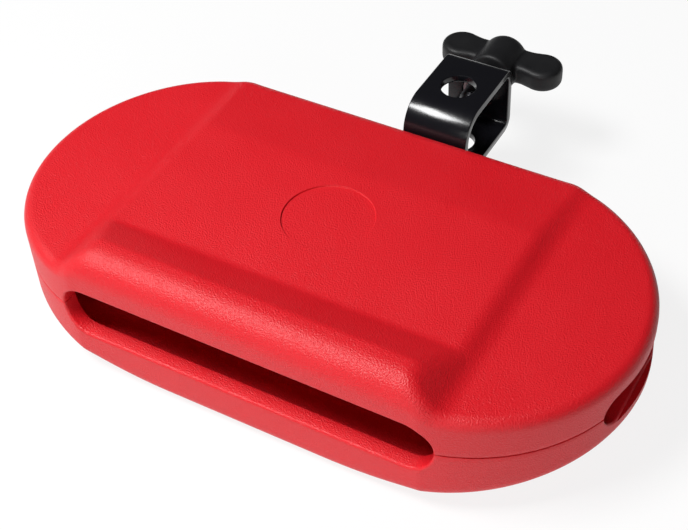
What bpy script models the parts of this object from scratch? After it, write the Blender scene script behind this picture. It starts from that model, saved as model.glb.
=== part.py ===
"""Percussion block: a hollow moulded body with slots, on a bent steel rod clamp with a wing bolt.

+X runs along the body, +Y points from the slotted front to the clamp, +Z is up.
The origin is the centre of the body's flat underside.
"""
import math

import bmesh
import bpy
from mathutils import Matrix, Vector

MM = 0.001
GAP = 0.3 * MM                  # clearance between pieces that touch
WELD = 0.02 * MM                # points closer than this are one
OVERSHOOT = 10.0 * MM           # how far a cutter runs past what it cuts
FAR = 300.0 * MM                # longer than anything here, for cutters

# Body, heights above the parting line unless said otherwise
BODY_LENGTH = 200.0 * MM
BODY_WIDTH = 104.4 * MM
END_BULGE = 1.0 * MM            # plan radius of the round ends, beyond half the width
WALL = 5.0 * MM
SEAM_HEIGHT = 23.6 * MM         # parting line above the flat underside
RIDGE_HEIGHT = 22.0 * MM        # striking ridge along the front
RIDGE_FRONT_ROUND = 8.2 * MM    # round from the front wall over to the ridge
RIDGE_WIDTH = 11.2 * MM         # front wall to the back edge of the ridge's flat top
RIDGE_BACK_ROUND = 3.0 * MM
BAND_WIDTH = 12.3 * MM          # slope from the ridge down to the panel
BAND_FOOT_ROUND = 3.0 * MM
PANEL_HEIGHT = 17.0 * MM        # flat panel behind the ridge
BACK_SLOPE_WIDTH = 30.2 * MM    # slope from the panel down to the back wall
BACK_SLOPE_ROUND = 14.0 * MM    # where that slope starts
BACK_HEIGHT = 14.4 * MM         # height where the back slope would meet the back wall
BACK_ROUND = 6.0 * MM
FOOT_ROUND = 5.5 * MM           # round of the long lower edges
LOBE_INNER_X = 62.0 * MM        # where the end lobe starts
LOBE_INNER_HEIGHT = 14.0 * MM
LOBE_END_HEIGHT = 12.0 * MM
RAMP_TOP_X = 52.5 * MM          # where the side ramp reaches the ridge's height
FOOT_FLAT_X = 38.0 * MM         # half-length of the flat underside
LOBE_UNDER_DROP = 12.7 * MM     # depth of the end lobe below the parting line at its tip
LOBE_EDGE_ROUND = 3.5 * MM
LEAST_ROUND = 0.5 * MM          # inside radius where the wall is thicker than the round

# Slots
FRONT_SLOT_LENGTH = 122.0 * MM
FRONT_SLOT_HEIGHT = 17.4 * MM
END_SLOT_LENGTH = 38.0 * MM
END_SLOT_HEIGHT = 10.4 * MM

# Blank round seat sunk in the panel
SEAT_X = 0.0 * MM
SEAT_Y = 1.3 * MM
SEAT_RADIUS = 14.1 * MM
SEAT_DEPTH = 0.5 * MM

# Clamp bracket, heights above the parting line
STRIP_WIDTH = 22.0 * MM
STRIP = 2.5 * MM                # steel thickness
CLAMP_X = 8.8 * MM              # centre of the clamp along the body
LOOP_DEPTH = 35.0 * MM          # outside, front to back
LOOP_TOP = 21.0 * MM
LOOP_BOTTOM = -3.5 * MM
FRONT_BEND = 10.0 * MM          # outside radius of the bend over the body's back edge
BACK_BEND = 4.5 * MM            # outside radius of the other two bends
TAIL_BOTTOM = -17.0 * MM        # lower end of the tail that lies on the body
ROD_HOLE = 11.3 * MM

# Fixings
BOLT_DIAMETER = 4.0 * MM
BOLT_HOLE = 4.6 * MM
BOLT_HEAD = 7.0 * MM
BOLT_HEAD_HEIGHT = 2.6 * MM
BOLT_HEAD_RIM = 0.5 * MM        # straight side of the domed head
BOLT_TAIL = 1.0 * MM            # thread beyond the nut
BOLT_HEIGHTS = {"upper": 2.9 * MM, "lower": -11.0 * MM}
WASHER_DIAMETER = 7.6 * MM
WASHER = 0.8 * MM
NUT_ACROSS = 7.0 * MM
NUT = 3.2 * MM
NUT_SIDES = 6

# Wing bolt
THREAD_DIAMETER = 8.0 * MM
BUSH_DIAMETER = 10.6 * MM
BUSH_FLANGE = 14.0 * MM
BUSH_FLANGE_THICKNESS = 1.5 * MM
TIP_REACH = 7.2 * MM            # screw inside the loop as photographed
TIP_CHAMFER = 1.0 * MM
HUB_STANDOFF = 5.0 * MM         # hub to bush flange as photographed
HUB_RADIUS = 7.8 * MM
HUB_LENGTH = 16.5 * MM
HUB_CROWN = 4.0 * MM            # round of the hub's outer end
HUB_RIM = 0.5 * MM
HUB_SOCKET = 12.0 * MM          # depth of the moulded-in screw
WING_SPAN = 43.5 * MM
WING_TIP_RADIUS = 6.8 * MM
WING_WAIST = 11.4 * MM          # depth of a wing where it leaves the hub
WING_WAIST_X = 9.5 * MM         # where that is, from the screw's axis
WING_THICKNESS = 7.4 * MM
WING_OFFSET = 1.2 * MM          # wings sit this far behind the hub's middle
WING_EDGE_ROUND = 2.2 * MM
WING_TIP_LEAN = 70.0            # degrees round the tip to where the wing's sides start

# Fineness of round shapes
ARC_STEPS = 22
ROUND_STEPS = 4
TIP_STEPS = 12
SLOT_STEPS = 12
EDGE_SEGMENTS = 3
WING_EDGE_SEGMENTS = 2
CIRCLE_SIDES = 48
BOLT_SIDES = 24
FLAT_ANGLE = math.radians(0.5)  # faces nearer than this to one plane are one face
EDGE_ANGLE = math.radians(50)   # edges sharper than this are rounded
SHARP_ANGLE = math.radians(35)  # edges sharper than this stay sharp in the shading
EDGE_TOLERANCE = 0.3 * MM       # how near the wall an edge of its rim lies

HALF_WIDTH = BODY_WIDTH / 2
HALF_LENGTH = BODY_LENGTH / 2
END_RADIUS = HALF_WIDTH + END_BULGE
CLAMP_FRONT = HALF_WIDTH + GAP
LOOP_BACK = CLAMP_FRONT + LOOP_DEPTH
ROD_Y = CLAMP_FRONT + LOOP_DEPTH / 2
SCREW_Z = SEAM_HEIGHT + (LOOP_TOP + LOOP_BOTTOM) / 2
BACK_INNER = LOOP_BACK - STRIP
HUB_FRONT = LOOP_BACK + GAP + BUSH_FLANGE_THICKNESS + HUB_STANDOFF

for old in list(bpy.data.objects):
    bpy.data.objects.remove(old, do_unlink=True)

parts = bpy.data.collections.new("percussion_block")
cutters = bpy.data.collections.new("cutters")
for group in (parts, cutters):
    bpy.context.scene.collection.children.link(group)


def material(name, colour, roughness, metallic=0.0):
    mat = bpy.data.materials.new(name)
    mat.use_nodes = True
    shader = mat.node_tree.nodes["Principled BSDF"]
    shader.inputs["Base Color"].default_value = (*colour, 1.0)
    shader.inputs["Roughness"].default_value = roughness
    shader.inputs["Metallic"].default_value = metallic
    return mat


RED = material("red_moulding", (0.72, 0.03, 0.05), 0.45)
BLACK_COAT = material("black_coat", (0.015, 0.015, 0.017), 0.25)
BLACK_MOULDING = material("black_moulding", (0.02, 0.02, 0.022), 0.6)
DARK_STEEL = material("dark_steel", (0.08, 0.08, 0.085), 0.35, 1.0)
ZINC = material("zinc_steel", (0.6, 0.6, 0.62), 0.3, 1.0)


def from_bmesh(name, bm, group, matrix=Matrix()):
    mesh = bpy.data.meshes.new(name)
    bm.to_mesh(mesh)
    bm.free()
    obj = bpy.data.objects.new(name, mesh)
    group.objects.link(obj)
    obj.matrix_world = matrix
    if group is cutters:
        obj.hide_render = True
        obj.display_type = "WIRE"
    return obj


def coat(obj, mat):
    obj.data.materials.clear()
    obj.data.materials.append(mat)


def prism(name, outlines, depth, group=cutters, matrix=Matrix()):
    """A flat outline in XY, with any holes, as a 2D curve thickened by depth about its plane."""
    curve = bpy.data.curves.new(name, "CURVE")
    curve.dimensions = "2D"
    curve.fill_mode = "BOTH"
    curve.extrude = depth / 2
    for outline in outlines:
        spline = curve.splines.new("POLY")
        spline.points.add(len(outline) - 1)
        for point, (x, y) in zip(spline.points, outline):
            point.co = (x, y, 0, 1)
        spline.use_cyclic_u = True
    flat = bpy.data.objects.new(name, curve)
    bpy.context.scene.collection.objects.link(flat)
    bpy.context.view_layer.update()
    mesh = bpy.data.meshes.new_from_object(flat.evaluated_get(bpy.context.evaluated_depsgraph_get()))
    bpy.data.objects.remove(flat, do_unlink=True)
    bm = bmesh.new()
    bm.from_mesh(mesh)
    bmesh.ops.remove_doubles(bm, verts=bm.verts, dist=WELD)
    bmesh.ops.recalc_face_normals(bm, faces=bm.faces)
    return from_bmesh(name, bm, group, matrix)


def cylinder(name, radius, start, end, group=cutters, sides=CIRCLE_SIDES):
    """A round bar between two points."""
    start, end = Vector(start), Vector(end)
    along = end - start
    bm = bmesh.new()
    bmesh.ops.create_cone(bm, cap_ends=True, segments=sides, radius1=radius, radius2=radius,
                          depth=along.length)
    turn = along.to_track_quat("Z", "Y").to_matrix().to_4x4()
    return from_bmesh(name, bm, group, Matrix.Translation((start + end) / 2) @ turn)


def turned(name, profile, origin, group=parts, sides=CIRCLE_SIDES):
    """A profile of (radius, distance along +Y), closed, turned about the Y axis through origin."""
    bm = bmesh.new()
    ring = [bm.verts.new((r, 0, -y)) for r, y in profile]
    for a, b in zip(ring, ring[1:]):
        bm.edges.new((a, b))
    if profile[0][0] > 0:
        bm.edges.new((ring[-1], ring[0]))
    axis_along_y = Matrix.Rotation(math.radians(90), 4, "X")
    obj = from_bmesh(name, bm, group, Matrix.Translation(origin) @ axis_along_y)
    screw = obj.modifiers.new("turn", "SCREW")
    screw.steps = sides
    screw.render_steps = sides
    screw.use_merge_vertices = True
    screw.merge_threshold = WELD
    screw.use_normal_calculate = True
    apply(obj)
    bm = bmesh.new()
    bm.from_mesh(obj.data)
    bmesh.ops.remove_doubles(bm, verts=bm.verts, dist=WELD)
    bmesh.ops.recalc_face_normals(bm, faces=bm.faces)
    bm.to_mesh(obj.data)
    bm.free()
    return obj


def apply(obj):
    """Turns an object's modifiers into its mesh."""
    bpy.context.view_layer.update()
    graph = bpy.context.evaluated_depsgraph_get()
    mesh = bpy.data.meshes.new_from_object(obj.evaluated_get(graph))
    old = obj.data
    obj.modifiers.clear()
    obj.data = mesh
    bpy.data.meshes.remove(old)
    return obj


def combine(obj, operation, *others):
    for other in others:
        mod = obj.modifiers.new(other.name, "BOOLEAN")
        mod.operation = operation
        mod.solver = "EXACT"
        mod.object = other
    apply(obj)
    return obj


def arc(cx, cy, radius, start, end, steps=ROUND_STEPS):
    """Points on an arc, angles in degrees, both ends included."""
    angles = [math.radians(start + (end - start) * i / steps) for i in range(steps + 1)]
    return [(cx + radius * math.cos(a), cy + radius * math.sin(a)) for a in angles]


def capsule(half_length, radius, steps=ARC_STEPS):
    """A stadium outline about the origin, long axis X."""
    centre = half_length - radius
    return arc(centre, 0, radius, -90, 90, steps) + arc(-centre, 0, radius, 90, 270, steps)


def rounded(corners, inset=0.0):
    """An anticlockwise outline of (x, y, radius) corners, moved inwards by inset, its corners as arcs."""
    points = []
    for i, (x, y, radius) in enumerate(corners):
        here = Vector((x, y))
        before = Vector(corners[i - 1][:2])
        after = Vector(corners[(i + 1) % len(corners)][:2])
        arriving = (here - before).normalized()
        leaving = (after - here).normalized()
        left_a = Vector((-arriving.y, arriving.x))
        left_b = Vector((-leaving.y, leaving.x))
        corner = here + (left_a + left_b) * (inset / (1 + left_a.dot(left_b)))
        if not radius:
            points.append(tuple(corner))
            continue
        side = 1 if arriving.cross(leaving) > 0 else -1
        bend = max(radius - side * inset, LEAST_ROUND)
        turn = arriving.angle(leaving)
        start = corner - arriving * bend * math.tan(turn / 2)
        centre = start + left_a * side * bend
        first = math.degrees(math.atan2(start.y - centre.y, start.x - centre.x))
        points += arc(centre.x, centre.y, bend, first, first + side * math.degrees(turn))
    return points


def side_section(inset):
    """Section across the body, (y, height above the parting line)."""
    ridge_back = RIDGE_WIDTH - HALF_WIDTH
    corners = [
        (-HALF_WIDTH, -SEAM_HEIGHT, FOOT_ROUND),
        (HALF_WIDTH, -SEAM_HEIGHT, FOOT_ROUND),
        (HALF_WIDTH, BACK_HEIGHT, BACK_ROUND),
        (HALF_WIDTH - BACK_SLOPE_WIDTH, PANEL_HEIGHT, BACK_SLOPE_ROUND),
        (ridge_back + BAND_WIDTH, PANEL_HEIGHT, BAND_FOOT_ROUND),
        (ridge_back, RIDGE_HEIGHT, RIDGE_BACK_ROUND),
        (-HALF_WIDTH, RIDGE_HEIGHT, RIDGE_FRONT_ROUND),
    ]
    return rounded(corners, inset)


def end_section(inset):
    """Section along the body, (x, height above the parting line), running on past the body all round."""
    reach = HALF_LENGTH + OVERSHOOT
    lobe_slope = (LOBE_INNER_HEIGHT - LOBE_END_HEIGHT) / (HALF_LENGTH - LOBE_INNER_X)
    ramp_slope = (RIDGE_HEIGHT - LOBE_INNER_HEIGHT) / (LOBE_INNER_X - RAMP_TOP_X)
    under_slope = (SEAM_HEIGHT - LOBE_UNDER_DROP) / (HALF_LENGTH - FOOT_FLAT_X)
    half = [
        (reach, -LOBE_UNDER_DROP + OVERSHOOT * under_slope),
        (reach, LOBE_END_HEIGHT - OVERSHOOT * lobe_slope),
        (LOBE_INNER_X, LOBE_INNER_HEIGHT),
        (RAMP_TOP_X - OVERSHOOT / ramp_slope, RIDGE_HEIGHT + OVERSHOOT),
    ]
    keel = (0, -SEAM_HEIGHT - FOOT_FLAT_X * under_slope, 0)
    corners = [keel] + [(x, z, 0) for x, z in half] + [(-x, z, 0) for x, z in reversed(half)]
    return rounded(corners, inset)


def body_solid(name, inset, edge_round):
    """The body's outer shape, or its cavity where inset is the wall."""
    across = Matrix(((0, 0, 1, 0), (1, 0, 0, 0), (0, 1, 0, SEAM_HEIGHT), (0, 0, 0, 1)))
    along = Matrix(((1, 0, 0, 0), (0, 0, -1, 0), (0, 1, 0, SEAM_HEIGHT), (0, 0, 0, 1)))
    plan = prism(name + "_plan", [capsule(HALF_LENGTH - inset, END_RADIUS - inset)], FAR)
    side = prism(name + "_side", [side_section(inset)], FAR, matrix=across)
    ends = prism(name + "_ends", [end_section(inset)], FAR, matrix=along)
    combine(plan, "INTERSECT", side)
    combine(plan, "INTERSECT", ends)
    if edge_round:
        round_lobe_edges(plan, edge_round)
    return plan


def round_lobe_edges(obj, radius):
    """Rounds the upper and lower edges of the two round ends, from the side ramps outwards."""
    centre = HALF_LENGTH - END_RADIUS
    bm = bmesh.new()
    bm.from_mesh(obj.data)
    bmesh.ops.dissolve_limit(bm, angle_limit=FLAT_ANGLE, verts=bm.verts, edges=bm.edges)
    rim = []
    for edge in bm.edges:
        ends = [v.co for v in edge.verts]
        upper = ends[0].z > SEAM_HEIGHT
        level = abs(ends[0].z - ends[1].z) < edge.calc_length() / 2
        back_limit = HALF_WIDTH - (BACK_ROUND if upper else FOOT_ROUND)
        front_limit = HALF_WIDTH - (EDGE_TOLERANCE if upper else FOOT_ROUND)
        past_ramp = all(abs(p.x) > LOBE_INNER_X - EDGE_TOLERANCE for p in ends)
        between_sides = all(-front_limit < p.y < back_limit for p in ends)
        on_wall = all(abs(math.hypot(abs(p.x) - centre, p.y) - END_RADIUS) < EDGE_TOLERANCE for p in ends)
        if level and past_ramp and between_sides and on_wall:
            rim.append(edge)
    bmesh.ops.bevel(bm, geom=rim, offset=radius, segments=EDGE_SEGMENTS, profile=0.5, affect="EDGES")
    bmesh.ops.remove_doubles(bm, verts=bm.verts, dist=WELD)
    bmesh.ops.triangulate(bm, faces=bm.faces)
    bm.to_mesh(obj.data)
    bm.free()


def box(name, low, high):
    bm = bmesh.new()
    bmesh.ops.create_cube(bm, size=1)
    bm.transform(Matrix.Diagonal((*(Vector(high) - Vector(low)), 1)))
    return from_bmesh(name, bm, cutters, Matrix.Translation((Vector(high) + Vector(low)) / 2))


def slot_cutter(name, length, height, start, end, direction):
    """A round-ended slot at the parting line, cut from start to end along X or Y."""
    middle = (start + end) / 2
    if direction == "Y":
        turn = Matrix(((1, 0, 0, 0), (0, 0, -1, middle), (0, 1, 0, SEAM_HEIGHT), (0, 0, 0, 1)))
    else:
        turn = Matrix(((0, 0, 1, middle), (1, 0, 0, 0), (0, 1, 0, SEAM_HEIGHT), (0, 0, 0, 1)))
    return prism(name, [capsule(length / 2, height / 2, SLOT_STEPS)], abs(end - start), matrix=turn)


def body_shells():
    """The hollow body with its slots, bolt holes and panel seat, parted into two halves."""
    outer = body_solid("body_outer", 0, LOBE_EDGE_ROUND)
    cavity = body_solid("body_cavity", WALL, 0)
    front = slot_cutter("front_slot", FRONT_SLOT_LENGTH, FRONT_SLOT_HEIGHT, -HALF_WIDTH - OVERSHOOT,
                        -HALF_WIDTH + WALL + OVERSHOOT, "Y")
    end = slot_cutter("end_slot", END_SLOT_LENGTH, END_SLOT_HEIGHT, HALF_LENGTH - WALL - OVERSHOOT,
                      HALF_LENGTH + OVERSHOOT, "X")
    combine(outer, "DIFFERENCE", cavity, front, end)
    for which, height in BOLT_HEIGHTS.items():
        z = SEAM_HEIGHT + height
        inside = (CLAMP_X, HALF_WIDTH - WALL - OVERSHOOT, z)
        hole = cylinder(f"bolt_hole_{which}", BOLT_HOLE / 2, inside, (CLAMP_X, HALF_WIDTH + OVERSHOOT, z),
                        sides=BOLT_SIDES)
        combine(outer, "DIFFERENCE", hole)
    floor = SEAM_HEIGHT + PANEL_HEIGHT - SEAT_DEPTH
    seat = cylinder("panel_seat", SEAT_RADIUS, (SEAT_X, SEAT_Y, floor), (SEAT_X, SEAT_Y, floor + OVERSHOOT))
    combine(outer, "DIFFERENCE", seat)
    halves = (("upper_shell", SEAM_HEIGHT + GAP / 2, FAR), ("lower_shell", -FAR, SEAM_HEIGHT - GAP / 2))
    for name, low, high in halves:
        shell = bpy.data.objects.new(name, outer.data.copy())
        parts.objects.link(shell)
        keep = box(name + "_side", (-FAR, -FAR, low), (FAR, FAR, high))
        combine(shell, "INTERSECT", keep)
        coat(shell, RED)


def clamp_bracket():
    """One strip bent into a loop, its tail lying down the body's back."""
    front, back, t = CLAMP_FRONT, LOOP_BACK, STRIP
    top, low = SEAM_HEIGHT + LOOP_TOP, SEAM_HEIGHT + LOOP_BOTTOM
    tail = SEAM_HEIGHT + TAIL_BOTTOM
    bends = (
        (back - BACK_BEND, low + BACK_BEND, BACK_BEND, 270, 360),
        (back - BACK_BEND, top - BACK_BEND, BACK_BEND, 0, 90),
        (front + FRONT_BEND, top - FRONT_BEND, FRONT_BEND, 90, 180),
    )
    outside = [(front, tail), (front + t, tail), (front + t, low)]
    inside = []
    for y, z, radius, first, last in bends:
        outside += arc(y, z, radius, first, last)
        inside += arc(y, z, radius - t, first, last)
    inside.append((front + t, low + t))
    turn = Matrix(((0, 0, 1, CLAMP_X), (1, 0, 0, 0), (0, 1, 0, 0), (0, 0, 0, 1)))
    strip = prism("clamp_bracket", [outside, inside], STRIP_WIDTH, parts, turn)
    rod = cylinder("rod_holes", ROD_HOLE / 2, (CLAMP_X, ROD_Y, low - t), (CLAMP_X, ROD_Y, top + t))
    bush = cylinder("bush_hole", BUSH_DIAMETER / 2 + GAP, (CLAMP_X, BACK_INNER - t, SCREW_Z),
                    (CLAMP_X, LOOP_BACK + t, SCREW_Z))
    combine(strip, "DIFFERENCE", rod, bush)
    for which, height in BOLT_HEIGHTS.items():
        z = SEAM_HEIGHT + height
        hole = cylinder(f"strip_hole_{which}", BOLT_HOLE / 2, (CLAMP_X, front - t, z),
                        (CLAMP_X, front + 2 * t, z), sides=BOLT_SIDES)
        combine(strip, "DIFFERENCE", hole)
    coat(strip, BLACK_COAT)


def bracket_fixings():
    """Two button-head bolts through the strip and the body's back wall, with a washer and nut inside."""
    head_seat = CLAMP_FRONT + STRIP + GAP
    washer_face = HALF_WIDTH - WALL - GAP
    nut_face = washer_face - WASHER - GAP
    bolt_end = nut_face - NUT - BOLT_TAIL
    radius, head = BOLT_DIAMETER / 2, BOLT_HEAD / 2
    bore = radius + GAP
    crown = BOLT_HEAD_HEIGHT - BOLT_HEAD_RIM
    dome = [(head * y, BOLT_HEAD_RIM + crown * x) for x, y in arc(0, 0, 1, 0, 90)]
    shank = [(head, 0), (radius, 0), (radius, bolt_end - head_seat), (0, bolt_end - head_seat)]
    ring = [(WASHER_DIAMETER / 2, 0), (WASHER_DIAMETER / 2, -WASHER), (bore, -WASHER), (bore, 0)]
    corner_radius = NUT_ACROSS / 2 / math.cos(math.pi / NUT_SIDES)
    for which, height in BOLT_HEIGHTS.items():
        z = SEAM_HEIGHT + height
        bolt = turned(f"bracket_bolt_{which}", dome + shank, (CLAMP_X, head_seat, z), sides=BOLT_SIDES)
        coat(bolt, DARK_STEEL)
        washer = turned(f"washer_{which}", ring, (CLAMP_X, washer_face, z), sides=BOLT_SIDES)
        coat(washer, ZINC)
        nut = cylinder(f"nut_{which}", corner_radius, (CLAMP_X, nut_face - NUT, z), (CLAMP_X, nut_face, z),
                       parts, NUT_SIDES)
        hole = cylinder(f"nut_bore_{which}", bore, (CLAMP_X, nut_face - 2 * NUT, z),
                        (CLAMP_X, nut_face + NUT, z), sides=BOLT_SIDES)
        combine(nut, "DIFFERENCE", hole)
        coat(nut, ZINC)


def thread_bush():
    """Threaded bush pressed through the loop's back plate, flange outside."""
    bore = THREAD_DIAMETER / 2 + GAP
    inner, flange = BUSH_DIAMETER / 2, BUSH_FLANGE / 2
    face = STRIP + GAP
    end = face + BUSH_FLANGE_THICKNESS
    profile = [(flange, end), (flange, face), (inner, face), (inner, 0), (bore, 0), (bore, end)]
    bush = turned("thread_bush", profile, (CLAMP_X, BACK_INNER, SCREW_Z))
    coat(bush, ZINC)


def wing_screw():
    """Threaded bar that the handle turns, its chamfered tip inside the loop."""
    radius = THREAD_DIAMETER / 2
    length = TIP_REACH + HUB_FRONT - BACK_INNER + HUB_SOCKET
    profile = [(0, length), (radius, length), (radius, TIP_CHAMFER), (radius - TIP_CHAMFER, 0), (0, 0)]
    screw = turned("wing_screw", profile, (CLAMP_X, BACK_INNER - TIP_REACH, SCREW_Z))
    coat(screw, DARK_STEEL)


def wing_handle():
    """Hub with two flat wings, moulded over the end of the screw."""
    middle = HUB_FRONT + HUB_LENGTH / 2 + WING_OFFSET
    tip = WING_SPAN / 2 - WING_TIP_RADIUS
    waist = WING_WAIST / 2
    outline = arc(tip, 0, WING_TIP_RADIUS, WING_TIP_LEAN - 180, 180 - WING_TIP_LEAN, TIP_STEPS)
    outline += [(WING_WAIST_X, waist), (-WING_WAIST_X, waist)]
    outline += arc(-tip, 0, WING_TIP_RADIUS, WING_TIP_LEAN, 360 - WING_TIP_LEAN, TIP_STEPS)
    outline += [(-WING_WAIST_X, -waist), (WING_WAIST_X, -waist)]
    on_axis = Matrix.Translation((CLAMP_X, middle, SCREW_Z))
    wings = prism("wing_handle", [outline], WING_THICKNESS, parts, on_axis)
    bevel = wings.modifiers.new("soft_edges", "BEVEL")
    bevel.width = WING_EDGE_ROUND
    bevel.segments = WING_EDGE_SEGMENTS
    bevel.limit_method = "ANGLE"
    bevel.angle_limit = EDGE_ANGLE
    apply(wings)
    crown = arc(HUB_RADIUS - HUB_CROWN, HUB_LENGTH - HUB_CROWN, HUB_CROWN, 90, 0)
    profile = [(0, HUB_LENGTH)] + crown + [(HUB_RADIUS, HUB_RIM), (HUB_RADIUS - HUB_RIM, 0), (0, 0)]
    hub = turned("hub", profile, (CLAMP_X, HUB_FRONT, SCREW_Z), cutters)
    socket = cylinder("screw_socket", THREAD_DIAMETER / 2 + GAP, (CLAMP_X, HUB_FRONT - HUB_LENGTH, SCREW_Z),
                      (CLAMP_X, HUB_FRONT + HUB_SOCKET + GAP, SCREW_Z))
    combine(wings, "UNION", hub)
    combine(wings, "DIFFERENCE", socket)
    coat(wings, BLACK_MOULDING)


body_shells()
clamp_bracket()
bracket_fixings()
thread_bush()
wing_screw()
wing_handle()

for part in parts.objects:
    part.data.shade_smooth()
    part.data.set_sharp_from_angle(angle=SHARP_ANGLE)
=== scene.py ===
"""Percussion block on a rod clamp: the finish of every surface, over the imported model."""
import math

import bmesh
import bpy
import numpy as np
from mathutils import Matrix, Vector


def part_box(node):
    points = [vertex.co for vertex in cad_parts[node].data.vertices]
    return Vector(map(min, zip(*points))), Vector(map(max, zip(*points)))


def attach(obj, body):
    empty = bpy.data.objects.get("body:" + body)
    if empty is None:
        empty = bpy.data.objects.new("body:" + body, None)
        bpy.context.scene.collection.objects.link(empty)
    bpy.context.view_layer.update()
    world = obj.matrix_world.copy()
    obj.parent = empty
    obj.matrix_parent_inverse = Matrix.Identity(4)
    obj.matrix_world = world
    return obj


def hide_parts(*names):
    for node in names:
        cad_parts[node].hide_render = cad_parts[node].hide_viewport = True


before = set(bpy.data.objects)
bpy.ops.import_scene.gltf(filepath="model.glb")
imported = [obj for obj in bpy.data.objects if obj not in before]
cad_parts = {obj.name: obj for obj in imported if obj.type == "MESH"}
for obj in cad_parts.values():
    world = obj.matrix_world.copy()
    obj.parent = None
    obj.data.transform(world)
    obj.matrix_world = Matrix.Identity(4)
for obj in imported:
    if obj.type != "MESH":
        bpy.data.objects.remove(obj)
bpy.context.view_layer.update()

# The studio: a white sheet of paper under the block, two soft boxes and an even white surround.
# The paper shows as white behind the block and keeps a faint shadow.
PAPER_WHITE = (0.93, 0.93, 0.93, 1.0)
PAPER_SIZE = 6.0
HORIZON_LEVEL, OVERHEAD_LEVEL = 1.15, 0.62


class Value:
    """A shader socket that adds its own Math nodes as it is used in sums and products."""

    def __init__(self, tree, socket):
        self.tree, self.socket = tree, socket

    def node(self, kind, settings=None, **inputs):
        """Any other node: its settings first, then the values or links of its sockets by name or number."""
        made = self.tree.nodes.new(kind)
        for key, value in (settings or {}).items():
            if key == "stops":
                ramp = made.color_ramp
                while len(ramp.elements) < len(value):
                    ramp.elements.new(0.5)
                for element, (place, colour) in zip(ramp.elements, value):
                    element.position = place
                    element.color = colour
            else:
                setattr(made, key, value)
        for key, value in inputs.items():
            name = key.replace("_", " ")
            target = made.inputs[int(key[1:])] if key[0] == "i" and key[1:].isdigit() else made.inputs[name]
            if isinstance(value, Value):
                self.tree.links.new(value.socket, target)
            else:
                target.default_value = value
        return made

    def out(self, kind, settings=None, output=0, **inputs):
        return Value(self.tree, self.node(kind, settings, **inputs).outputs[output])

    def math(self, operation, a, b=0.0):
        return self.out("ShaderNodeMath", {"operation": operation}, i0=a, i1=b)

    def __add__(self, other):
        return self.math("ADD", self, other)

    def __radd__(self, other):
        return self.math("ADD", other, self)

    def __sub__(self, other):
        return self.math("SUBTRACT", self, other)

    def __rsub__(self, other):
        return self.math("SUBTRACT", other, self)

    def __mul__(self, other):
        return self.math("MULTIPLY", self, other)

    def __rmul__(self, other):
        return self.math("MULTIPLY", other, self)

    def __truediv__(self, other):
        return self.math("DIVIDE", self, other)

    def __rtruediv__(self, other):
        return self.math("DIVIDE", other, self)


def new_material(name):
    """A material with its shader, and the object coordinates to build on."""
    mat = bpy.data.materials.new(name)
    mat.use_nodes = True
    tree = mat.node_tree
    shader = tree.nodes["Principled BSDF"]
    place = Value(tree, tree.nodes.new("ShaderNodeTexCoord").outputs["Object"])
    return mat, shader, place


def feed(place, shader, socket, value):
    place.tree.links.new(value.socket, shader.inputs[socket])


paper = bpy.data.materials.new("white_paper")
paper.use_nodes = True
paper_tree = paper.node_tree
paper_shader = paper_tree.nodes["Principled BSDF"]
paper_shader.inputs["Base Color"].default_value = PAPER_WHITE
paper_shader.inputs["Roughness"].default_value = 0.9
seen = Value(paper_tree, paper_tree.nodes.new("ShaderNodeLightPath").outputs["Is Camera Ray"])
glow = paper_tree.nodes.new("ShaderNodeEmission")
glow.inputs["Strength"].default_value = 1.0
mirrored = Value(paper_tree, seen.socket.node.outputs["Is Glossy Ray"])
passed = Value(paper_tree, seen.socket.node.outputs["Is Transmission Ray"])
shown = seen.math("MAXIMUM", seen.math("MAXIMUM", seen, mirrored), passed)
mixed = seen.out("ShaderNodeMixShader", i0=shown * 0.85, i1=Value(paper_tree, paper_shader.outputs[0]),
                 i2=Value(paper_tree, glow.outputs[0]))
paper_tree.links.new(mixed.socket, paper_tree.nodes["Material Output"].inputs["Surface"])
bpy.ops.mesh.primitive_plane_add(size=PAPER_SIZE)
floor = bpy.context.object
floor.name = "paper_floor"
floor.location.z = -0.0002
floor.data.materials.append(paper)

world = bpy.data.worlds.new("surround")
bpy.context.scene.world = world
world.use_nodes = True
surround = world.node_tree.nodes["Background"]
sky = Value(world.node_tree, world.node_tree.nodes.new("ShaderNodeTexCoord").outputs["Generated"])
height = sky.out("ShaderNodeSeparateXYZ", output=2, Vector=sky)
level = sky.out("ShaderNodeMapRange", i0=height, i1=0.10, i2=0.55, i3=HORIZON_LEVEL, i4=OVERHEAD_LEVEL)
world.node_tree.links.new(level.socket, surround.inputs["Strength"])


def soft_box(name, place, aim, width, depth, watts):
    lamp = bpy.data.lights.new(name, "AREA")
    lamp.shape = "RECTANGLE"
    lamp.size, lamp.size_y, lamp.energy = width, depth, watts
    obj = bpy.data.objects.new(name, lamp)
    bpy.context.scene.collection.objects.link(obj)
    obj.location = place
    obj.rotation_euler = (Vector(aim) - Vector(place)).to_track_quat("-Z", "Y").to_euler()
    return obj


soft_box("key_box", (-0.33, -0.26, 0.75), (0, 0, 0.02), 0.34, 0.24, 8.0)
soft_box("front_box", (0.20, -0.75, 0.38), (0, 0, 0.02), 0.6, 0.3, 2.0)
bpy.context.scene.view_settings.view_transform = "Standard"

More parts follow.
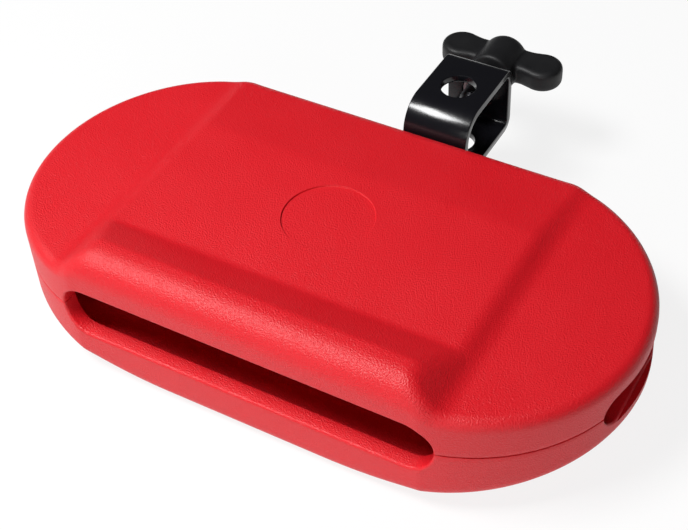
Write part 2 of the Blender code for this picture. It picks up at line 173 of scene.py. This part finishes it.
# The camera stands where the photographer's did: above and to the right of the slotted front,
# with a slight roll. Angles in degrees, lengths in metres; focal length from the fitted outlines.
VIEW_AZIMUTH, VIEW_ELEVATION, VIEW_ROLL = 31.85, 44.32, -3.43
VIEW_DISTANCE = 0.42141
VIEW_TARGET = Vector((0.00495, 0.00052, 0.0236))
FOCAL_PIXELS, FRAME_WIDTH = 1400.0, 688.0
azimuth, elevation, roll = (math.radians(v) for v in (VIEW_AZIMUTH, VIEW_ELEVATION, VIEW_ROLL))
back = Vector((math.sin(azimuth) * math.cos(elevation), -math.cos(azimuth) * math.cos(elevation), math.sin(elevation)))
right = Vector((math.cos(azimuth), math.sin(azimuth), 0))
up = back.cross(right)
across = math.cos(roll) * right + math.sin(roll) * up
upward = -math.sin(roll) * right + math.cos(roll) * up
camera = bpy.data.objects.new("camera", bpy.data.cameras.new("camera"))
bpy.context.scene.collection.objects.link(camera)
camera.data.lens = FOCAL_PIXELS / FRAME_WIDTH * camera.data.sensor_width
camera.data.sensor_fit = "HORIZONTAL"
camera.data.clip_start = 0.01
turn = Matrix((across, upward, back)).transposed().to_4x4()
camera.matrix_world = Matrix.Translation(VIEW_TARGET + back * VIEW_DISTANCE) @ turn
bpy.context.scene.camera = camera

# The body, a hollow moulding in two halves that meet at a fine parting line. Each half is lofted
# from the middle of the block over its outer face to the parting line and back along the inside:
# ridge and panel across, ramps and lobes along, every edge with the mould's soft round.
MM = 0.001
shell_low, shell_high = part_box("lower_shell")[0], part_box("upper_shell")[1]
HALF_LENGTH = shell_high.x
HALF_WIDTH = shell_high.y
SEAM_HEIGHT = 23.6 * MM
SEAM_GAP = 0.15 * MM            # half the parting gap
SEAM_LIP = 0.35 * MM            # small round where each half meets the other
END_BULGE = 1.0 * MM
WALL = 5.0 * MM
RIDGE_HEIGHT = shell_high.z - SEAM_HEIGHT
RIDGE_WIDTH, RIDGE_BACK_ROUND = 11.2 * MM, 5.0 * MM
BAND_WIDTH, BAND_FOOT_ROUND = 12.3 * MM, 7.0 * MM
PANEL_HEIGHT = 17.0 * MM
BACK_SLOPE_WIDTH, BACK_SLOPE_ROUND, BACK_HEIGHT = 30.2 * MM, 40.0 * MM, 14.4 * MM
RAMP_TOP_X, LOBE_INNER_X = 52.5 * MM, 62.0 * MM
LOBE_INNER_HEIGHT, LOBE_END_HEIGHT, LOBE_INNER_ROUND = 14.0 * MM, 12.0 * MM, 9.0 * MM
RAMP_EDGE_BLEND = 2.6 * MM      # softness of the edge between the ramps and the panel or ridge
FOOT_FLAT_X, LOBE_UNDER_DROP, FOOT_BLEND = 38.0 * MM, 12.7 * MM, 2.0 * MM
RIM_FRONT, RIM_BACK, RIM_LOBE, RIM_FOOT = 8.2 * MM, 4.6 * MM, 3.5 * MM, 5.0 * MM
RIM_STEPS, WALL_STEPS, INNER_ROUND = 9, 7, 1.0 * MM
ROW_STEP, END_COLUMNS, SIDE_COLUMNS = 0.9 * MM, 190, 34


def rounded_line(corners, steps=8):
    """Points of an open line through (u, v, radius) corners, each corner as an arc."""
    points = [np.array(corners[0][:2])]
    for before, here, after in zip(corners, corners[1:], corners[2:]):
        corner = np.array(here[:2])
        a, b = np.array(before[:2]) - corner, np.array(after[:2]) - corner
        a, b = a / np.linalg.norm(a), b / np.linalg.norm(b)
        half = math.acos(np.clip(a @ b, -1, 1)) / 2
        reach = here[2] / math.tan(half)
        centre = corner + (a + b) / np.linalg.norm(a + b) * here[2] / math.sin(half)
        first, last = corner + a * reach - centre, corner + b * reach - centre
        for t in np.linspace(0, 1, steps):
            ray = first * (1 - t) + last * t
            points.append(centre + ray / np.linalg.norm(ray) * here[2])
    points.append(np.array(corners[-1][:2]))
    return np.array(points)


def soft_lower(a, b, width):
    """The lower of two heights, with a round of that width where they cross."""
    near = np.maximum(width - np.abs(a - b), 0) / width
    return np.minimum(a, b) - near * near * width / 4


def soft_step(value, low, high):
    t = np.clip((value - low) / (high - low), 0, 1)
    return t * t * (3 - 2 * t)


ridge_back = RIDGE_WIDTH - HALF_WIDTH
ACROSS = rounded_line([
    (-2 * HALF_WIDTH, RIDGE_HEIGHT, 0),
    (ridge_back, RIDGE_HEIGHT, RIDGE_BACK_ROUND),
    (ridge_back + BAND_WIDTH, PANEL_HEIGHT, BAND_FOOT_ROUND),
    (HALF_WIDTH - BACK_SLOPE_WIDTH, PANEL_HEIGHT, BACK_SLOPE_ROUND),
    (HALF_WIDTH, BACK_HEIGHT, 0),
])
lobe_slope = (LOBE_INNER_HEIGHT - LOBE_END_HEIGHT) / (HALF_LENGTH - LOBE_INNER_X)
ramp_slope = (RIDGE_HEIGHT - LOBE_INNER_HEIGHT) / (LOBE_INNER_X - RAMP_TOP_X)
ALONG = rounded_line([
    (0, LOBE_INNER_HEIGHT + ramp_slope * LOBE_INNER_X, 0),
    (LOBE_INNER_X, LOBE_INNER_HEIGHT, LOBE_INNER_ROUND),
    (2 * HALF_LENGTH, LOBE_INNER_HEIGHT - lobe_slope * (2 * HALF_LENGTH - LOBE_INNER_X), 0),
])


def top_height(x, y):
    """Outer height over the parting line, without the rim's round."""
    across = np.interp(y, ACROSS[:, 0], ACROSS[:, 1])
    along = np.interp(np.abs(x), ALONG[:, 0], ALONG[:, 1])
    return soft_lower(across, along, RAMP_EDGE_BLEND)


def under_depth(x, y):
    """Outer depth below the parting line, without the rim's round."""
    slope = (SEAM_HEIGHT - LOBE_UNDER_DROP) / (HALF_LENGTH - FOOT_FLAT_X)
    rising = SEAM_HEIGHT - slope * (np.abs(x) - FOOT_FLAT_X)
    return soft_lower(np.full_like(x, SEAM_HEIGHT), rising, FOOT_BLEND)


def plan_columns(inset):
    """(middle point, rim point) of each column round the block, anticlockwise from the +X end's front."""
    radius = HALF_WIDTH + END_BULGE - inset
    centre = HALF_LENGTH - END_BULGE - HALF_WIDTH
    width = HALF_WIDTH - inset
    columns = []
    for side in (1, -1):
        angles = np.linspace(-math.pi / 2, math.pi / 2, END_COLUMNS)
        for angle in angles:
            reach = min(radius, width / max(abs(math.sin(angle)), 1e-6))
            rim = (side * (centre + reach * math.cos(angle)), side * reach * math.sin(angle))
            columns.append(((side * centre, 0.0), rim))
        for t in np.linspace(0, 1, SIDE_COLUMNS)[1:-1]:
            x = side * (centre - 2 * centre * t)
            columns.append(((x, 0.0), (x, side * width)))
    return np.array([c[0] for c in columns]), np.array([c[1] for c in columns])


def half_rows(height, rim_round, inset, low):
    """Rows of points from the middle over one face of a half and down its wall to the level low."""
    middle, rim = plan_columns(inset)
    ray = rim - middle
    length = np.linalg.norm(ray, axis=1)
    r = np.minimum(rim_round(rim[:, 0], rim[:, 1]), HALF_WIDTH / 4)
    rows = []
    for t in np.linspace(0, 1, round(HALF_WIDTH / ROW_STEP)):
        d = r + (length - r) * (1 - t)
        p = rim - ray * (d / length)[:, None]
        rows.append(np.column_stack([p, height(p[:, 0], p[:, 1])]))
    for turn in np.linspace(0, math.pi / 2, RIM_STEPS + 1)[1:]:
        d = r * (1 - math.sin(turn))
        p = rim - ray * (d / length)[:, None]
        rows.append(np.column_stack([p, height(p[:, 0], p[:, 1]) - r * (1 - math.cos(turn))]))
    last = rows[-1][:, 2]
    for t in np.linspace(0, 1, WALL_STEPS + 1)[1:]:
        rows.append(np.column_stack([rim, last * (1 - t) + low * t]))
    return rows


def shell_half(name, height, rim_round, up):
    """One half as a closed mesh: outer face, lip, and inner face."""
    outer = half_rows(height, rim_round, 0.0, SEAM_GAP + SEAM_LIP)
    middle, rim = plan_columns(0.0)
    inward = (middle - rim) / np.linalg.norm(middle - rim, axis=1)[:, None]
    wall_end = outer[-1]
    for turn in (math.pi / 4, math.pi / 2):
        row = wall_end.copy()
        row[:, :2] += inward * SEAM_LIP * (1 - math.cos(turn))
        row[:, 2] -= SEAM_LIP * math.sin(turn)
        outer.append(row)
    inner = half_rows(lambda x, y: height(x, y) - WALL, lambda x, y: np.full_like(x, INNER_ROUND), WALL, SEAM_GAP)
    bm = bmesh.new()
    side = 1 if up else -1
    loops = [[bm.verts.new((x, y, SEAM_HEIGHT + side * z)) for x, y, z in row] for row in outer + inner[::-1]]
    for a, b in zip(loops, loops[1:]):
        for i in range(len(a)):
            j = (i + 1) % len(a)
            bm.faces.new((a[i], a[j], b[j], b[i]))
    bmesh.ops.remove_doubles(bm, verts=bm.verts, dist=0.00001)
    bmesh.ops.recalc_face_normals(bm, faces=bm.faces)
    return made(name, bm)


def made(name, bm):
    """A new object in the scene from a bmesh."""
    mesh = bpy.data.meshes.new(name)
    bm.to_mesh(mesh)
    bm.free()
    obj = bpy.data.objects.new(name, mesh)
    bpy.context.scene.collection.objects.link(obj)
    return obj


def lofted(name, rings):
    """Rings of equally many points joined side by side, with flat ends."""
    bm = bmesh.new()
    loops = [[bm.verts.new(p) for p in ring] for ring in rings]
    for a, b in zip(loops, loops[1:]):
        for i in range(len(a)):
            j = (i + 1) % len(a)
            bm.faces.new((a[i], a[j], b[j], b[i]))
    bm.faces.new(loops[0])
    bm.faces.new(loops[-1])
    bmesh.ops.recalc_face_normals(bm, faces=bm.faces)
    return made(name, bm)


def baked(obj):
    """The object with its modifiers made real."""
    bpy.context.view_layer.update()
    mesh = bpy.data.meshes.new_from_object(obj.evaluated_get(bpy.context.evaluated_depsgraph_get()))
    obj.modifiers.clear()
    obj.data = mesh
    return obj


def joined(obj, operation, tools):
    """Cuts tools from obj, or joins them to it, and removes them."""
    for tool in tools:
        cut = obj.modifiers.new(tool.name, "BOOLEAN")
        cut.operation, cut.solver, cut.object = operation, "EXACT", tool
    baked(obj)
    return obj


def gone(tools):
    for tool in tools:
        bpy.data.objects.remove(tool, do_unlink=True)


def soft_shaded(obj, degrees=32):
    obj.data.shade_smooth()
    obj.data.set_sharp_from_angle(angle=math.radians(degrees))
    return obj


def stadium(half_length, radius, steps=20):
    """Points of a round-ended slot outline about the origin."""
    angles = np.linspace(-math.pi / 2, math.pi / 2, steps)
    ends = [(half_length - radius + radius * math.cos(a), radius * math.sin(a)) for a in angles]
    return ends + [(-u, -v) for u, v in ends]


def slot_tool(name, half_length, radius, place):
    """A slot cutter whose mouth flares by the lip's round; place(u, v, depth) puts its points on the wall."""
    rings = [[place(u, v, -SLOT_MOUTH) for u, v in stadium(half_length + SLOT_LIP, radius + SLOT_LIP)]]
    for turn in np.linspace(0, math.pi / 2, 6):
        extra = SLOT_LIP * (1 - math.sin(turn))
        depth = SLOT_LIP * (1 - math.cos(turn))
        rings.append([place(u, v, depth) for u, v in stadium(half_length + extra, radius + extra)])
    rings.append([place(u, v, WALL + SLOT_THROUGH) for u, v in stadium(half_length, radius)])
    return lofted(name, rings)


SLOT_LIP, SLOT_THROUGH, SLOT_MOUTH = 0.9 * MM, 3.0 * MM, 9.0 * MM
FRONT_SLOT = (61.0 * MM, 8.7 * MM)
END_SLOT = (19.0 * MM, 5.2 * MM)
END_RADIUS = HALF_WIDTH + END_BULGE
END_CENTRE = HALF_LENGTH - END_RADIUS
SEAT_PLACE, SEAT_RADIUS, SEAT_DEPTH, SEAT_EDGE = (0.0, 1.3 * MM), 14.1 * MM, 0.5 * MM, 0.12 * MM


def on_front(u, v, depth):
    beyond = max(abs(u) - END_CENTRE, 0)
    wall = min(HALF_WIDTH, math.sqrt(END_RADIUS ** 2 - min(beyond, END_RADIUS) ** 2))
    return (u, depth - wall, SEAM_HEIGHT + v)


def on_end(u, v, depth):
    return (END_CENTRE + math.sqrt(END_RADIUS ** 2 - u * u) - depth, u, SEAM_HEIGHT + v)


def round_tool(name, rings, centre, axis):
    """A turned cutter: (radius, distance along the axis) rings about a centre; axis is 1 for Y, 2 for Z."""
    made_rings = []
    for radius, along in rings:
        ring = []
        for angle in np.linspace(0, 2 * math.pi, 64, endpoint=False):
            u, v = radius * math.cos(angle), radius * math.sin(angle)
            point = (u, along, v) if axis == 1 else (u, v, along)
            ring.append(tuple(c + p for c, p in zip(centre, point)))
        made_rings.append(ring)
    return lofted(name, made_rings)


def rim_upper(x, y):
    long_side = np.where(y < 0, RIM_FRONT, RIM_BACK)
    start = np.where(y < 0, RAMP_TOP_X - 4 * MM, RAMP_TOP_X)
    ease = soft_step(np.abs(x), start, start + 16 * MM)
    return long_side * (1 - ease) + RIM_LOBE * ease


upper_body = shell_half("upper_body", top_height, rim_upper, True)
lower_body = shell_half("lower_body", under_depth, lambda x, y: np.full_like(x, RIM_FOOT), False)
tools = [slot_tool("front_slot_tool", *FRONT_SLOT, on_front), slot_tool("end_slot_tool", *END_SLOT, on_end)]
for node in ("bracket_bolt_upper", "bracket_bolt_lower"):
    low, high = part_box(node)
    centre = ((low.x + high.x) / 2, HALF_WIDTH, (low.z + high.z) / 2)
    tools.append(round_tool(node + "_hole_tool", [(2.3 * MM, -2 * WALL), (2.3 * MM, WALL)], centre, 1))
seat_centre = (*SEAT_PLACE, SEAM_HEIGHT + PANEL_HEIGHT)
seat_rings = [(SEAT_RADIUS - SEAT_EDGE, -SEAT_DEPTH), (SEAT_RADIUS, SEAT_EDGE - SEAT_DEPTH),
              (SEAT_RADIUS, -SEAT_EDGE / 2), (SEAT_RADIUS + SEAT_EDGE, SEAT_EDGE / 2), (SEAT_RADIUS + SEAT_EDGE, WALL)]
seat_tool = round_tool("seat_tool", seat_rings, seat_centre, 2)
joined(upper_body, "DIFFERENCE", tools + [seat_tool])
joined(lower_body, "DIFFERENCE", tools)
gone(tools + [seat_tool])

# The moulding is red ABS with a fine spark-eroded grain: a close pebble that catches the light
# in tiny specks, slightly paler and duller in broad faint patches where sticks and hands rub.
RED, RED_PALE = (0.62, 0.002, 0.008, 1), (0.76, 0.010, 0.020, 1)
red, red_shader, red_place = new_material("red_moulding")
grain = red_place.out("ShaderNodeTexNoise", Vector=red_place, Scale=2000.0, Detail=2.0, Roughness=0.5)
pebble = red_place.out("ShaderNodeTexVoronoi", {"feature": "F1"}, Vector=red_place, Scale=2300.0)
patches = red_place.out("ShaderNodeTexNoise", Vector=red_place, Scale=45.0, Detail=4.0, Roughness=0.6)
tint = red_place.node("ShaderNodeMix", {"data_type": "RGBA"}, Factor=patches * 0.4 + grain * 0.5)
tint.inputs[6].default_value = RED
tint.inputs[7].default_value = RED_PALE
feed(red_place, red_shader, "Base Color", Value(red_place.tree, tint.outputs[2]))
feed(red_place, red_shader, "Roughness", 0.32 + patches * 0.10 + pebble * 0.20)
bump = red_place.out("ShaderNodeBump", Strength=1.0, Distance=0.00018, Height=grain * 0.7 + pebble * 0.6)
feed(red_place, red_shader, "Normal", bump)
for piece, node in ((upper_body, "upper_shell"), (lower_body, "lower_shell")):
    piece.data.materials.clear()
    piece.data.materials.append(red)
    soft_shaded(piece)
    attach(piece, "block")
    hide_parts(node)

# The clamp: one steel strip bent into a loop round the rod, its tail bolted to the block's back,
# pierced for the rod, the bush and the two bolts, edges tumbled, then enamelled gloss black.
STRIP = 2.5 * MM
STRIP_EDGE = 0.30 * MM
LOOP_HEIGHT = 24.5 * MM
FRONT_BEND, BACK_BEND = 10.0 * MM, 4.5 * MM
ROD_HOLE_RADIUS, BUSH_HOLE_RADIUS, BOLT_HOLE_RADIUS = 5.65 * MM, 5.6 * MM, 2.3 * MM
strip_low, strip_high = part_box("clamp_bracket")
strip_middle = (strip_low.x + strip_high.x) / 2


def bend(y, z, radius, first, last, steps=14):
    angles = np.radians(np.linspace(first, last, steps))
    return [(y + radius * math.cos(a), z + radius * math.sin(a)) for a in angles]


def plate(name, outlines, thickness, edge, matrix):
    """Flat outlines with their holes, thickened both ways, every rim rounded by edge."""
    curve = bpy.data.curves.new(name, "CURVE")
    curve.dimensions, curve.fill_mode = "2D", "BOTH"
    curve.extrude, curve.bevel_depth, curve.offset = thickness / 2 - edge, edge, -edge
    curve.bevel_resolution = 3
    for outline in outlines:
        spline = curve.splines.new("POLY")
        spline.points.add(len(outline) - 1)
        spline.points.foreach_set("co", [v for u, w in outline for v in (u, w, 0, 1)])
        spline.use_cyclic_u = True
    flat = bpy.data.objects.new(name + "_outline", curve)
    bpy.context.scene.collection.objects.link(flat)
    bpy.context.view_layer.update()
    bm = bmesh.new()
    bm.from_mesh(bpy.data.meshes.new_from_object(flat.evaluated_get(bpy.context.evaluated_depsgraph_get())))
    bpy.data.objects.remove(flat, do_unlink=True)
    bmesh.ops.remove_doubles(bm, verts=bm.verts, dist=0.00001)
    bm.transform(matrix)
    bmesh.ops.recalc_face_normals(bm, faces=bm.faces)
    return made(name, bm)


front, rear = strip_low.y, strip_high.y
top, bottom = strip_high.z, strip_high.z - LOOP_HEIGHT
outside = [(front, strip_low.z), (front + STRIP, strip_low.z), (front + STRIP, bottom)]
outside += bend(rear - BACK_BEND, bottom + BACK_BEND, BACK_BEND, 270, 360)
outside += bend(rear - BACK_BEND, top - BACK_BEND, BACK_BEND, 0, 90)
outside += bend(front + FRONT_BEND, top - FRONT_BEND, FRONT_BEND, 90, 180, 24)
inside = bend(rear - BACK_BEND, bottom + BACK_BEND, BACK_BEND - STRIP, 270, 360)
inside += bend(rear - BACK_BEND, top - BACK_BEND, BACK_BEND - STRIP, 0, 90)
inside += bend(front + FRONT_BEND, top - FRONT_BEND, FRONT_BEND - STRIP, 90, 180, 24)
inside += [(front + STRIP, bottom + STRIP)]
side_on = Matrix(((0, 0, 1, strip_middle), (1, 0, 0, 0), (0, 1, 0, 0), (0, 0, 0, 1)))
clamp = plate("clamp_strip", [outside, inside], strip_high.x - strip_low.x, STRIP_EDGE, side_on)


def eased_hole(name, radius, centre, axis, faces):
    """A hole cutter that flares a little at each plate face, given by the faces' distances from centre."""
    flare = 0.35 * MM
    rings = [(radius + flare, faces[0] - STRIP)]
    for at, way in ((faces[0], 1), (faces[1], -1)):
        pair = [(radius + flare, at), (radius + flare * 0.3, at + way * flare * 0.3), (radius, at + way * flare)]
        rings += pair if way > 0 else pair[::-1]
    rings.append((radius + flare, faces[1] + STRIP))
    return round_tool(name, rings, centre, axis)


rod_y = (front + rear) / 2
screw_z = (top + bottom) / 2
bores = [
    eased_hole("rod_top", ROD_HOLE_RADIUS, (strip_middle, rod_y, top), 2, (-STRIP, 0.0)),
    eased_hole("rod_bottom", ROD_HOLE_RADIUS, (strip_middle, rod_y, bottom), 2, (0.0, STRIP)),
    eased_hole("bush_bore", BUSH_HOLE_RADIUS, (strip_middle, rear, screw_z), 1, (-STRIP, 0.0)),
]
for node in ("bracket_bolt_upper", "bracket_bolt_lower"):
    low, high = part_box(node)
    bores.append(eased_hole(node + "_bore", BOLT_HOLE_RADIUS, (strip_middle, front, (low.z + high.z) / 2), 1, (0.0, STRIP)))
joined(clamp, "DIFFERENCE", bores)
gone(bores)
soft_shaded(clamp, 40)

enamel, enamel_shader, enamel_place = new_material("black_enamel")
peel = enamel_place.out("ShaderNodeTexNoise", Vector=enamel_place, Scale=420.0, Detail=2.0)
smears = enamel_place.out("ShaderNodeTexNoise", Vector=enamel_place, Scale=70.0, Detail=4.0)
enamel_shader.inputs["Base Color"].default_value = (0.006, 0.006, 0.008, 1)
feed(enamel_place, enamel_shader, "Roughness", 0.12 + smears * 0.16)
feed(enamel_place, enamel_shader, "Normal",
     enamel_place.out("ShaderNodeBump", Strength=0.25, Distance=0.00008, Height=peel))
clamp.data.materials.clear()
clamp.data.materials.append(enamel)
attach(clamp, "block")
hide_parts("clamp_bracket")

# The wing screw: blackened steel, rolled thread, a dog point that presses on the rod.
THREAD_RADIUS, THREAD_DEPTH, THREAD_PITCH = 4.0 * MM, 0.62 * MM, 1.25 * MM
POINT_LENGTH = 1.4 * MM
screw_low, screw_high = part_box("wing_screw")
screw_rings = []
steps_round, steps_turn = 40, 10
length = screw_high.y - screw_low.y
for k in range(round(length / THREAD_PITCH * steps_turn) + 1):
    along = min(k * THREAD_PITCH / steps_turn, length)
    ring = []
    for i in range(steps_round):
        angle = 2 * math.pi * i / steps_round
        phase = (along / THREAD_PITCH - i / steps_round) % 1.0
        ridge = 1 - min(abs(2 * phase - 1) * 1.3, 1.0)
        runout = min(along / POINT_LENGTH, (length - along) / POINT_LENGTH, 1.0)
        radius = THREAD_RADIUS - THREAD_DEPTH * (1 - ridge * runout)
        if along < POINT_LENGTH / 2:
            radius -= (POINT_LENGTH / 2 - along) * 0.8
        ring.append((strip_middle + radius * math.cos(angle), screw_low.y + along, screw_z + radius * math.sin(angle)))
    screw_rings.append(ring)
screw = soft_shaded(lofted("screw_thread", screw_rings), 50)

dark, dark_shader, dark_place = new_material("dark_steel")
dark_marks = dark_place.out("ShaderNodeTexNoise", Vector=dark_place, Scale=900.0, Detail=3.0)
dark_shader.inputs["Base Color"].default_value = (0.045, 0.045, 0.05, 1)
dark_shader.inputs["Metallic"].default_value = 0.85
feed(dark_place, dark_shader, "Roughness", 0.3 + dark_marks * 0.2)
screw.data.materials.append(dark)
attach(screw, "screw")
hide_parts("wing_screw")

# The wing handle: black nylon moulded over the screw's head, a domed hub that flows into two plump
# wings. The mould's fine texture leaves it satin, a little greyer in broad rubbed patches.
hub_low, hub_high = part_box("wing_handle")
WING_THICKNESS, WING_EDGE = 7.4 * MM, 1.8 * MM
WING_TIP_RADIUS, WING_WAIST, WING_WAIST_X = 6.8 * MM, 11.4 * MM, 9.5 * MM
HUB_RADIUS, HUB_CROWN, HUB_FOOT = 7.8 * MM, 4.6 * MM, 0.8 * MM
WING_OFFSET = 1.2 * MM
wing_y = (hub_low.y + hub_high.y) / 2 + WING_OFFSET
tip_x = (hub_high.x - hub_low.x) / 2 - WING_TIP_RADIUS
wing_outline = bend(tip_x, 0, WING_TIP_RADIUS, -110, 110, 30)
wing_outline += [(WING_WAIST_X, WING_WAIST / 2), (-WING_WAIST_X, WING_WAIST / 2)]
wing_outline += bend(-tip_x, 0, WING_TIP_RADIUS, 70, 290, 30)
wing_outline += [(-WING_WAIST_X, -WING_WAIST / 2), (WING_WAIST_X, -WING_WAIST / 2)]
handle = plate("wing_handle_moulding", [wing_outline], WING_THICKNESS, WING_EDGE,
               Matrix.Translation((strip_middle, wing_y, screw_z)))
hub_length = hub_high.y - hub_low.y
hub_rings = [(HUB_RADIUS - HUB_FOOT, 0.0), (HUB_RADIUS, HUB_FOOT)]
for turn in np.linspace(0, math.pi / 2, 10):
    hub_rings.append((HUB_RADIUS - HUB_CROWN + HUB_CROWN * math.cos(turn),
                      hub_length - HUB_CROWN + HUB_CROWN * math.sin(turn)))
hub = round_tool("hub", hub_rings, (strip_middle, hub_low.y, screw_z), 1)
joined(handle, "UNION", [hub])
gone([hub])
melt = handle.modifiers.new("one_skin", "REMESH")
melt.mode, melt.voxel_size = "VOXEL", 0.35 * MM
ease = handle.modifiers.new("soft_valleys", "SMOOTH")
ease.iterations, ease.factor = 14, 0.5
baked(handle)
handle.data.shade_smooth()

nylon, nylon_shader, nylon_place = new_material("black_nylon")
nylon_grain = nylon_place.out("ShaderNodeTexNoise", Vector=nylon_place, Scale=1900.0, Detail=3.0)
rubbed = nylon_place.out("ShaderNodeTexNoise", Vector=nylon_place, Scale=120.0, Detail=3.0)
nylon_tint = nylon_place.node("ShaderNodeMix", {"data_type": "RGBA"}, Factor=rubbed * 0.8)
nylon_tint.inputs[6].default_value = (0.006, 0.006, 0.007, 1)
nylon_tint.inputs[7].default_value = (0.014, 0.014, 0.015, 1)
nylon_shader.inputs["Specular IOR Level"].default_value = 0.35
feed(nylon_place, nylon_shader, "Base Color", Value(nylon_place.tree, nylon_tint.outputs[2]))
feed(nylon_place, nylon_shader, "Roughness", 0.42 + rubbed * 0.2)
feed(nylon_place, nylon_shader, "Normal",
     nylon_place.out("ShaderNodeBump", Strength=0.45, Distance=0.0001, Height=nylon_grain))
handle.data.materials.clear()
handle.data.materials.append(nylon)
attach(handle, "handle")
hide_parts("wing_handle")

# The fixings: zinc plated bush, washers and nuts, blackened button-head bolts.
zinc, zinc_shader, zinc_place = new_material("zinc_plate")
zinc_marks = zinc_place.out("ShaderNodeTexNoise", Vector=zinc_place, Scale=800.0, Detail=3.0)
zinc_shader.inputs["Base Color"].default_value = (0.55, 0.55, 0.57, 1)
zinc_shader.inputs["Metallic"].default_value = 1.0
feed(zinc_place, zinc_shader, "Roughness", 0.25 + zinc_marks * 0.2)
finishes = {"bracket_bolt_upper": dark, "bracket_bolt_lower": dark, "washer_upper": zinc, "washer_lower": zinc,
            "nut_upper": zinc, "nut_lower": zinc, "thread_bush": zinc}
for name, finish in finishes.items():
    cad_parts[name].data.materials.clear()
    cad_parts[name].data.materials.append(finish)
